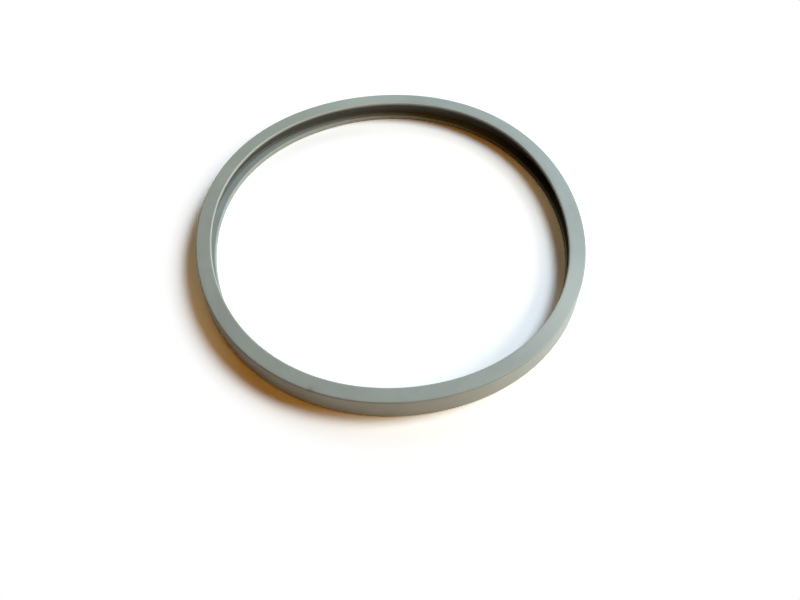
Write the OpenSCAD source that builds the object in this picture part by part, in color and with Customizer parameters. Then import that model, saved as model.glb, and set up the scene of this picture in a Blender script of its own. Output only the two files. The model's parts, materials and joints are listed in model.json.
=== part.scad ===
// Tail light lens gasket: a one-piece rubber ring with a U-shaped section that opens to the middle.
// The rim of the lens sits in the groove, and the two lips hold it from the front and the back.
// Millimetres, +Z up. The origin is the ring's centre, on the flat face that the ring lies on.

/* [Groove for the lens rim] */
// Diameter at the bottom of the groove
groove_d = 96.8; // [60:0.2:160]
// Opening of the groove between the two lips
groove_h = 4.4; // [2:0.1:8]
// Radius in the two corners at the bottom of the groove
groove_corner_r = 0.5; // [0.1:0.05:0.9]

/* [Outer wall] */
// Thickness of the wall behind the groove
wall_t = 1.6; // [1:0.1:3]
// Radius of the two outside edges
outer_edge_r = 0.45; // [0.1:0.05:0.9]

/* [Front lip] */
// How far the front lip reaches in from the bottom of the groove
front_lip_reach = 2.4; // [1.2:0.1:5]
// Thickness of the front lip
front_lip_t = 1; // [0.8:0.05:2]

/* [Seat lip] */
// How far the seat lip reaches in from the bottom of the groove
seat_lip_reach = 2.1; // [1.2:0.1:5]
// Thickness of the seat lip, which the ring lies on
seat_lip_t = 1.4; // [0.8:0.05:2.5]

/* [Lip edges] */
// Radius along the free edges of both lips
lip_edge_r = 0.3; // [0.1:0.05:0.45]

/* [Hidden] */

// Facets of the ring and of its small edge radii when it is shown as a mesh
ring_facets = 240;
edge_facets = 32;

// Radii of the ring, from the outside in
groove_r = groove_d / 2;
outer_r = groove_r + wall_t;
front_window_r = groove_r - front_lip_reach;
seat_window_r = groove_r - seat_lip_reach;

// Heights above the seat face
groove_top = seat_lip_t + groove_h;
height = groove_top + front_lip_t;

// The quarters of the plane that a corner's material can lie in
UP_OUT = 0;
UP_IN = 1;
DOWN_IN = 2;
DOWN_OUT = 3;

// The piece between a square corner at the origin and the arc that rounds it:
// cut away it rounds an outside corner, and added it fills an inside one.
module corner_piece(radius, quarter) {
    rotate(90 * quarter)
        difference() {
            square(radius);
            translate([radius, radius])
                circle(radius, $fn = edge_facets);
        }
}

// A lip from its free edge out to the outside wall
module lip_section(window_r, low, thickness) {
    translate([window_r, low])
        square([outer_r - window_r, thickness]);
}

// The U of wall and lips with filled corners in the groove, before its edges are rounded
module square_edged_section() {
    translate([groove_r, 0])
        square([wall_t, height]);
    lip_section(front_window_r, groove_top, front_lip_t);
    lip_section(seat_window_r, 0, seat_lip_t);
    translate([groove_r, groove_top])
        corner_piece(groove_corner_r, DOWN_IN);
    translate([groove_r, seat_lip_t])
        corner_piece(groove_corner_r, UP_IN);
}

// The moulded section: both outside edges and all four lip edges are rounded
module gasket_section() {
    difference() {
        square_edged_section();
        translate([outer_r, height])
            corner_piece(outer_edge_r, DOWN_IN);
        translate([outer_r, 0])
            corner_piece(outer_edge_r, UP_IN);
        for (lip = [[front_window_r, groove_top, height], [seat_window_r, 0, seat_lip_t]]) {
            translate([lip[0], lip[1]])
                corner_piece(lip_edge_r, UP_OUT);
            translate([lip[0], lip[2]])
                corner_piece(lip_edge_r, DOWN_OUT);
        }
    }
}

// The whole gasket, the section turned once round the ring's axis
module lens_gasket() {
    color([0.58, 0.62, 0.60])
        rotate_extrude($fn = ring_facets)
            gasket_section();
}

lens_gasket();
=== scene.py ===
import json
import math

import bmesh
import bpy
from mathutils import Matrix, Vector


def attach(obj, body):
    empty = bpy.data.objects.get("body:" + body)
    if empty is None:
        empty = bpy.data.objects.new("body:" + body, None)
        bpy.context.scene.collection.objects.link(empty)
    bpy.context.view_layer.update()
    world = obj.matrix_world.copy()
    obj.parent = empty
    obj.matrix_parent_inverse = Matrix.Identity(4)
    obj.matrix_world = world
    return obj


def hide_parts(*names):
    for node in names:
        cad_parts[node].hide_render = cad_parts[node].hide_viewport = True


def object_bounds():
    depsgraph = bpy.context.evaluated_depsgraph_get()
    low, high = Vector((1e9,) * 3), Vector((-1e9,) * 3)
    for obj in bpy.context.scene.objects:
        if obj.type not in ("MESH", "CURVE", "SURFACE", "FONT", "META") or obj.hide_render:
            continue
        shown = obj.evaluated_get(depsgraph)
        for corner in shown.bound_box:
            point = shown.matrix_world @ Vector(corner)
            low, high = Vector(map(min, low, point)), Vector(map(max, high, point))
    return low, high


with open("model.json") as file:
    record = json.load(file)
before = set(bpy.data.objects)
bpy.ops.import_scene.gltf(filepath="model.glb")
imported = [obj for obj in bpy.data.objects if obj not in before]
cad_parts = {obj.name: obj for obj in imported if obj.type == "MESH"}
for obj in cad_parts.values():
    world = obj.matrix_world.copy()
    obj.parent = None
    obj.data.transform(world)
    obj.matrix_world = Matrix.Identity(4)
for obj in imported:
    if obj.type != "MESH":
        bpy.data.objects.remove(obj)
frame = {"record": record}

cad_low, cad_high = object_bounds()

# The gasket is one ring of soft grey rubber, moulded in one shot. Its section is a U that opens to
# the middle: an outer wall with a front lip above and a thicker seat lip below. The rim of a lens
# springs into the groove between the lips, and nothing else is fixed to the ring.
mounts = {mount["name"]: mount for mount in frame["record"]["mounts"]}
outer_r = mounts["housing_seat"]["dims"]["r_mm"] / 1000
front_window_r = mounts["lens_window"]["dims"]["r_mm"] / 1000
height = cad_high.z
wall_t = 0.0016
front_lip_t = 0.001
seat_lip_t = 0.0014
seat_window_r = 0.0463
groove_r = outer_r - wall_t
groove_top = height - front_lip_t
outer_edge_r = 0.0003
lip_edge_r = 0.0003
groove_corner_r = 0.0005
wall_foot_r = outer_r + 0.0001
wall_top_r = outer_r - 0.00025

# The wall leans out a little towards its foot. The section is drawn as a face with square corners,
# and each group of corners gets its own radius.
gasket_bm = bmesh.new()
section = [
    gasket_bm.verts.new((r, 0, z))
    for r, z in (
        (wall_foot_r, 0),
        (wall_top_r, height),
        (front_window_r, height),
        (front_window_r, groove_top),
        (groove_r, groove_top),
        (groove_r, seat_lip_t),
        (seat_window_r, seat_lip_t),
        (seat_window_r, 0),
    )
]
gasket_bm.faces.new(section)
for corners, radius, edge_segments in (
    (section[0:2], outer_edge_r, 8),
    (section[2:4] + section[6:8], lip_edge_r, 5),
    (section[4:6], groove_corner_r, 4),
):
    bmesh.ops.bevel(
        gasket_bm,
        geom=corners,
        offset=radius,
        offset_type="OFFSET",
        affect="VERTICES",
        segments=edge_segments,
        profile=0.5,
        material=-1,
    )
bmesh.ops.delete(gasket_bm, geom=gasket_bm.faces[:], context="FACES_ONLY")

# The outer wall and the front face get more points across, so that the nick can dent them.
point_gap = 0.0004
for edge in gasket_bm.edges[:]:
    middle = (edge.verts[0].co + edge.verts[1].co) / 2
    on_outside = middle.x > wall_top_r - point_gap / 10 or middle.z > height - point_gap / 10
    if on_outside and edge.calc_length() > 2 * point_gap:
        cuts = int(edge.calc_length() / point_gap)
        bmesh.ops.subdivide_edges(gasket_bm, edges=[edge], cuts=cuts)

# The free edges of the lips are painted paler as a highlight where they catch the light, and the groove
# between them and the underside of the front lip are painted dark as shade.
edge_highlight_layer = gasket_bm.verts.layers.float.new("painted_highlight")
painted_shade_layer = gasket_bm.verts.layers.float.new("painted_shade")
for vert in gasket_bm.verts:
    on_front_edge = vert.co.x < front_window_r + 0.9 * lip_edge_r and vert.co.z > height - lip_edge_r
    on_seat_edge = vert.co.x < seat_window_r + lip_edge_r and vert.co.z <= seat_lip_t
    under_edge = vert.co.x < front_window_r + lip_edge_r and groove_top < vert.co.z < height - lip_edge_r
    past_lips = front_window_r + 3 * lip_edge_r < vert.co.x < groove_r + wall_t / 2
    # Painted highlight on the lip edges, painted shade in the groove and under the front lip.
    if on_front_edge:
        vert[edge_highlight_layer] = 1.0
    elif on_seat_edge:
        vert[edge_highlight_layer] = 0.6
    if past_lips and seat_lip_t <= vert.co.z <= groove_top:
        vert[painted_shade_layer] = 0.75 + 0.2 * (vert.co.z - seat_lip_t) / (groove_top - seat_lip_t)
    elif under_edge:
        vert[painted_shade_layer] = 0.6

# The section sweeps a short, finely stepped stretch for the nick, and then the rest of the ring in
# equal stretches, of which the first is swept and the others are its copies.
nick_turn = math.radians(4)
nick_steps = 40
stretches = 8
stretch_turn = (math.tau - nick_turn) / stretches
stretch_steps = 100
fine = bmesh.ops.spin(
    gasket_bm,
    geom=gasket_bm.verts[:] + gasket_bm.edges[:],
    cent=(0, 0, 0),
    axis=(0, 0, 1),
    angle=nick_turn,
    steps=nick_steps,
)
fine_faces = gasket_bm.faces[:]
bmesh.ops.spin(
    gasket_bm,
    geom=fine["geom_last"],
    cent=(0, 0, 0),
    axis=(0, 0, 1),
    angle=stretch_turn,
    steps=stretch_steps,
)
first_stretch = [face for face in gasket_bm.faces if face not in set(fine_faces)]
bmesh.ops.spin(
    gasket_bm,
    geom=first_stretch,
    cent=(0, 0, 0),
    axis=(0, 0, 1),
    angle=stretch_turn * (stretches - 1),
    steps=stretches - 1,
    use_duplicate=True,
)
bmesh.ops.remove_doubles(gasket_bm, verts=gasket_bm.verts[:], dist=0.000005)
bmesh.ops.recalc_face_normals(gasket_bm, faces=gasket_bm.faces[:])
nick_at = math.radians(-110.2)
bmesh.ops.rotate(
    gasket_bm,
    verts=gasket_bm.verts[:],
    cent=(0, 0, 0),
    matrix=Matrix.Rotation(nick_at - nick_turn / 2, 3, "Z"),
)

# The nick is a small knock on the outside edge of the front face, coloured darker where it is dented
# deepest.
nick_length = 0.0008
nick_reach = 0.0009
nick_depth = 0.00014
nick_push = Vector((-math.cos(nick_at), -math.sin(nick_at), -1.6)).normalized()
nick_dark_layer = gasket_bm.verts.layers.float.new("nick_dark")
nick_centre = Vector((wall_top_r * math.cos(nick_at), wall_top_r * math.sin(nick_at), height))
for vert in gasket_bm.verts:
    away = vert.co - nick_centre
    along = away.y * math.cos(nick_at) - away.x * math.sin(nick_at)
    off_edge = math.hypot(away.x * math.cos(nick_at) + away.y * math.sin(nick_at), away.z)
    if abs(along) < 4 * nick_length and off_edge < 4 * nick_reach:
        share = math.exp(-((along / nick_length) ** 2) - (off_edge / nick_reach) ** 2)
        vert.co += nick_push * nick_depth * share
        vert[nick_dark_layer] = share

# Stretches of the front face and of the wall are painted paler as sheen and light. The painted shade in
# the groove is deepest on the right, where it covers the seat lip as well and the painted highlight
# fades, and a little lies along the outside edge.
face_sheen = ((math.radians(-27), math.radians(17), 0.95), (math.radians(102), math.radians(16), 0.65))
wall_light = ((math.radians(-58), math.radians(26), 0.6),)
deep_shade_at = math.radians(25)
deep_shade_spread = math.radians(50)
edge_shade = 0.45
edge_shade_at = math.radians(-125)
edge_shade_spread = math.radians(45)
painted_light_layer = gasket_bm.verts.layers.float.new("painted_light")


def bump(around, centre, spread):
    return math.exp(-(((around - centre) / spread) ** 2))


for vert in gasket_bm.verts:
    around = math.atan2(vert.co.y, vert.co.x)
    from_axis = math.hypot(vert.co.x, vert.co.y)
    on_wall = from_axis > groove_r + wall_t / 2
    if on_wall or vert.co.z > groove_top:
        # Painted sheen on the front face, painted light on the wall.
        light_patches = face_sheen if vert.co.z > height - outer_edge_r else wall_light
        for light_at, light_spread, light_share in light_patches:
            vert[painted_light_layer] += light_share * bump(around, light_at, light_spread)
    # The painted shade deepens on the right, where the groove lies in shadow, and the painted highlight
    # fades there.
    deep_shade = bump(around, deep_shade_at, deep_shade_spread)
    vert[edge_highlight_layer] *= 1 - 0.9 * deep_shade
    if vert[painted_shade_layer] > 0:
        vert[painted_shade_layer] += (1 - vert[painted_shade_layer]) * deep_shade
    # A thin painted shade lies along the outside edge, below the front face.
    if on_wall and 0.5 * outer_edge_r < height - vert.co.z < 2 * outer_edge_r:
        vert[painted_shade_layer] = edge_shade * bump(around, edge_shade_at, edge_shade_spread)
    if vert.co.z <= seat_lip_t and from_axis < groove_r:
        vert[painted_shade_layer] = max(vert[painted_shade_layer], deep_shade)

# The soft ring lies a few tenths of a millimetre out of round, with four crests and three lesser ones.
# Its seat lip reaches in a little further than its moulded size and is gathered at the back, and its
# front lip is broadest on the right.
four_wave = 0.000396
four_wave_peak = math.radians(-34.5)
three_wave = 0.000166
three_wave_peak = math.radians(51.6)
seat_lip_gain = 0.0004
seat_lip_gather = 0.00075
gather_at = math.radians(93)
gather_spread = math.radians(27)
front_lip_gain = 0.0003
wall_gain = 0.0002
gain_at = math.radians(8)
gain_spread = math.radians(32)
for vert in gasket_bm.verts:
    around = math.atan2(vert.co.y, vert.co.x)
    lip_share = (groove_r - math.hypot(vert.co.x, vert.co.y)) / (groove_r - seat_window_r)
    if vert.co.z < seat_lip_t + groove_corner_r and lip_share > 0:
        gather = seat_lip_gather * bump(around, gather_at, gather_spread)
        vert.co.x += lip_share * (gather - seat_lip_gain) * math.cos(around)
        vert.co.y += lip_share * (gather - seat_lip_gain) * math.sin(around)
    slack = four_wave * math.cos(4 * (around - four_wave_peak))
    slack += three_wave * math.cos(3 * (around - three_wave_peak))
    gain = bump(around, gain_at, gain_spread)
    slack += gain * wall_gain
    if vert.co.z > groove_top - groove_corner_r and lip_share > 0:
        slack -= gain * lip_share * (front_lip_gain + wall_gain)
    vert.co.x += slack * math.cos(around)
    vert.co.y += slack * math.sin(around)

gasket_mesh = bpy.data.meshes.new("lens_gasket_rubber")
gasket_bm.to_mesh(gasket_mesh)
gasket_bm.free()
for polygon in gasket_mesh.polygons:
    polygon.use_smooth = True
gasket = bpy.data.objects.new("lens_gasket_rubber", gasket_mesh)
bpy.context.scene.collection.objects.link(gasket)
even_normals = gasket.modifiers.new("even_normals", "WEIGHTED_NORMAL")
even_normals.weight = 90

# The rubber is a satin blue-green grey, faintly mottled, with the fine grain of its mould.
rubber_dark = (0.285, 0.328, 0.313, 1)
rubber_pale = (0.315, 0.362, 0.347, 1)
rubber_lit_paint = (0.4, 0.455, 0.44, 1)
rubber_highlight_paint = (0.5, 0.51, 0.44, 1)
rubber_shade_paint = (0.03, 0.031, 0.03, 1)
rubber_nick_dark = (0.2, 0.19, 0.16, 1)
mottle_size = 0.007
sheen_size = 0.02
grain_size = 0.00035
rubber = bpy.data.materials.new("grey_rubber")
rubber.use_nodes = True
rubber_nodes = rubber.node_tree.nodes
rubber_links = rubber.node_tree.links
rubber_shader = rubber_nodes["Principled BSDF"]
rubber_place = rubber_nodes.new("ShaderNodeTexCoord")


def rubber_noise(size, detail):
    noise = rubber_nodes.new("ShaderNodeTexNoise")
    noise.inputs["Scale"].default_value = 1 / size
    noise.inputs["Detail"].default_value = detail
    rubber_links.new(rubber_place.outputs["Object"], noise.inputs["Vector"])
    return noise.outputs["Fac"]


def rubber_range(value, low, high, to_low, to_high):
    remap = rubber_nodes.new("ShaderNodeMapRange")
    rubber_links.new(value, remap.inputs["Value"])
    remap.inputs["From Min"].default_value = low
    remap.inputs["From Max"].default_value = high
    remap.inputs["To Min"].default_value = to_low
    remap.inputs["To Max"].default_value = to_high
    return remap.outputs["Result"]


def rubber_mix(factor, first, second):
    mix = rubber_nodes.new("ShaderNodeMix")
    mix.data_type = "RGBA"
    rubber_links.new(factor, mix.inputs["Factor"])
    for name, colour in (("A", first), ("B", second)):
        if isinstance(colour, tuple):
            mix.inputs[name].default_value = colour
        else:
            rubber_links.new(colour, mix.inputs[name])
    return mix.outputs["Result"]


def rubber_attribute(name, share):
    attribute = rubber_nodes.new("ShaderNodeAttribute")
    attribute.attribute_name = name
    return rubber_range(attribute.outputs["Fac"], 0, 1, 0, share)


mottle = rubber_range(rubber_noise(mottle_size, 4), 0.35, 0.65, 0, 1)
rubber_colour = rubber_mix(mottle, rubber_dark, rubber_pale)
# The colour is painted paler for sheen, light and edge highlights and painted dark for shade from the
# vertex layers, and the nick is coloured darker.
rubber_colour = rubber_mix(rubber_attribute("painted_light", 1), rubber_colour, rubber_lit_paint)
rubber_colour = rubber_mix(rubber_attribute("painted_highlight", 0.7), rubber_colour, rubber_highlight_paint)
rubber_colour = rubber_mix(rubber_attribute("painted_shade", 1), rubber_colour, rubber_shade_paint)
rubber_colour = rubber_mix(rubber_attribute("nick_dark", 0.5), rubber_colour, rubber_nick_dark)
rubber_links.new(rubber_colour, rubber_shader.inputs["Base Color"])
sheen = rubber_range(rubber_noise(sheen_size, 3), 0.3, 0.7, 0.4, 0.5)
rubber_links.new(sheen, rubber_shader.inputs["Roughness"])
grain = rubber_nodes.new("ShaderNodeBump")
grain.inputs["Strength"].default_value = 0.25
grain.inputs["Distance"].default_value = 0.00002
rubber_links.new(rubber_noise(grain_size, 2), grain.inputs["Height"])
rubber_links.new(grain.outputs["Normal"], rubber_shader.inputs["Normal"])
gasket_mesh.materials.append(rubber)
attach(gasket, "root")
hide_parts("lens_gasket")

# The floor is a plain white sheet of paper that the ring lies loose on. The camera and gloss see it
# brighter than it is for bounced light, and the camera sees it white away from the ring's shadow.
# Inside the ring the bounced light is graded, from none at the right to full at the left.
floor_half = 3.0
floor_bounce = (0.8, 0.8, 0.8, 1)
floor_seen = (1.3, 1.3, 1.3, 1)
shadow_end = 0.053
white_start = 0.0595
inner_shadow_end = 0.0405
inner_white_start = 0.036
floor_bm = bmesh.new()
bmesh.ops.create_grid(floor_bm, x_segments=1, y_segments=1, size=floor_half)
floor_mesh = bpy.data.meshes.new("floor")
floor_bm.to_mesh(floor_mesh)
floor_bm.free()
floor = bpy.data.objects.new("floor", floor_mesh)
bpy.context.scene.collection.objects.link(floor)
paper = bpy.data.materials.new("white_paper")
paper.use_nodes = True
paper_nodes = paper.node_tree.nodes
paper_links = paper.node_tree.links
paper_nodes.clear()
paper_place = paper_nodes.new("ShaderNodeTexCoord")
from_middle = paper_nodes.new("ShaderNodeVectorMath")
from_middle.operation = "LENGTH"
paper_links.new(paper_place.outputs["Object"], from_middle.inputs[0])
rays = paper_nodes.new("ShaderNodeLightPath")
seen = paper_nodes.new("ShaderNodeMath")
seen.operation = "MAXIMUM"
paper_links.new(rays.outputs["Is Camera Ray"], seen.inputs[0])
paper_links.new(rays.outputs["Is Glossy Ray"], seen.inputs[1])
outside = paper_nodes.new("ShaderNodeMath")
outside.operation = "GREATER_THAN"
paper_links.new(from_middle.outputs["Value"], outside.inputs[0])
outside.inputs[1].default_value = groove_r
paper_axes = paper_nodes.new("ShaderNodeSeparateXYZ")
paper_links.new(paper_place.outputs["Object"], paper_axes.inputs[0])
inside_bounce = paper_nodes.new("ShaderNodeMapRange")
paper_links.new(paper_axes.outputs["X"], inside_bounce.inputs["Value"])
inside_bounce.inputs["From Min"].default_value = front_window_r
inside_bounce.inputs["From Max"].default_value = -front_window_r
inside_bounce.inputs["To Min"].default_value = 0
inside_bounce.inputs["To Max"].default_value = floor_bounce[0]
bounce = paper_nodes.new("ShaderNodeMix")
bounce.data_type = "RGBA"
paper_links.new(outside.outputs[0], bounce.inputs["Factor"])
paper_links.new(inside_bounce.outputs["Result"], bounce.inputs["A"])
bounce.inputs["B"].default_value = floor_bounce
whiteness = paper_nodes.new("ShaderNodeMix")
whiteness.data_type = "RGBA"
paper_links.new(seen.outputs[0], whiteness.inputs["Factor"])
paper_links.new(bounce.outputs["Result"], whiteness.inputs["A"])
whiteness.inputs["B"].default_value = floor_seen
near_paper = paper_nodes.new("ShaderNodeBsdfDiffuse")
paper_links.new(whiteness.outputs["Result"], near_paper.inputs["Color"])
far_paper = paper_nodes.new("ShaderNodeEmission")
far_share = paper_nodes.new("ShaderNodeMapRange")
far_share.interpolation_type = "SMOOTHSTEP"
paper_links.new(from_middle.outputs["Value"], far_share.inputs["Value"])
far_share.inputs["From Min"].default_value = shadow_end
far_share.inputs["From Max"].default_value = white_start
middle_share = paper_nodes.new("ShaderNodeMapRange")
middle_share.interpolation_type = "SMOOTHSTEP"
paper_links.new(from_middle.outputs["Value"], middle_share.inputs["Value"])
middle_share.inputs["From Min"].default_value = inner_shadow_end
middle_share.inputs["From Max"].default_value = inner_white_start
white_share = paper_nodes.new("ShaderNodeMath")
white_share.operation = "MAXIMUM"
paper_links.new(far_share.outputs["Result"], white_share.inputs[0])
paper_links.new(middle_share.outputs["Result"], white_share.inputs[1])
far_seen = paper_nodes.new("ShaderNodeMath")
far_seen.operation = "MULTIPLY"
paper_links.new(white_share.outputs[0], far_seen.inputs[0])
paper_links.new(rays.outputs["Is Camera Ray"], far_seen.inputs[1])
paper_mix = paper_nodes.new("ShaderNodeMixShader")
paper_links.new(far_seen.outputs[0], paper_mix.inputs["Fac"])
paper_links.new(near_paper.outputs[0], paper_mix.inputs[1])
paper_links.new(far_paper.outputs[0], paper_mix.inputs[2])
paper_out = paper_nodes.new("ShaderNodeOutputMaterial")
paper_links.new(paper_mix.outputs[0], paper_out.inputs["Surface"])
floor_mesh.materials.append(paper)

# The light falls mostly from the right: a cool lamp high up, and a broad soft one lower down.
# Dim soft lamps behind and in front and a faint warm glow all round fill in the rest.
for lamp_name, lamp_at, lamp_size, lamp_power, lamp_colour in (
    ("key", (0.206, 0.064, 0.363), 0.16, 0.968, (0.747, 0.898, 1.0)),
    ("right", (0.39, 0, 0.225), 0.25, 1.171, (0.964, 1.0, 0.894)),
    ("behind_right", (0.195, 0.3375, 0.225), 0.25, 0.734, (0.614, 0.79, 1.0)),
    ("behind_left", (-0.195, 0.3375, 0.225), 0.25, 0.305, (0.97, 1.0, 0.544)),
    ("front", (0.195, -0.3375, 0.225), 0.25, 0.347, (1.0, 0.51, 0.02)),
):
    lamp_data = bpy.data.lights.new(lamp_name, "AREA")
    lamp_data.shape = "DISK"
    lamp_data.size = lamp_size
    lamp_data.energy = lamp_power
    lamp_data.color = lamp_colour
    lamp = bpy.data.objects.new(lamp_name, lamp_data)
    lamp.location = lamp_at
    lamp.rotation_euler = Vector(lamp_at).to_track_quat("Z", "Y").to_euler()
    bpy.context.scene.collection.objects.link(lamp)

room = bpy.data.worlds.new("room")
room.use_nodes = True
room_nodes = room.node_tree.nodes
room_links = room.node_tree.links
room_glow = room_nodes["Background"]
room_glow.inputs["Color"].default_value = (0.08, 0.015, 0.005, 1)
room_rays = room_nodes.new("ShaderNodeLightPath")
backdrop = room_nodes.new("ShaderNodeBackground")
room_mix = room_nodes.new("ShaderNodeMixShader")
room_links.new(room_rays.outputs["Is Camera Ray"], room_mix.inputs["Fac"])
room_links.new(room_glow.outputs[0], room_mix.inputs[1])
room_links.new(backdrop.outputs[0], room_mix.inputs[2])
backdrop.inputs["Color"].default_value = (1, 1, 1, 1)
room_links.new(room_mix.outputs[0], room_nodes["World Output"].inputs["Surface"])
bpy.context.scene.world = room

# The camera looks down on the ring steeply from the front, close by and through a wide lens, and it
# is rolled a little, as one held in the hand is.
camera_data = bpy.data.cameras.new("camera")
camera_data.sensor_width = 36
camera_data.lens = 31.095
camera = bpy.data.objects.new("camera", camera_data)
camera_pitch = math.radians(57.258)
camera_roll = math.radians(0.965)
camera.rotation_mode = "ZYX"
camera.rotation_euler = (math.pi / 2 - camera_pitch, 0, camera_roll)
camera.location = (0.00258, -0.11206, 0.14565)
bpy.context.scene.collection.objects.link(camera)
bpy.context.scene.camera = camera
bpy.context.scene.view_settings.view_transform = "Standard"
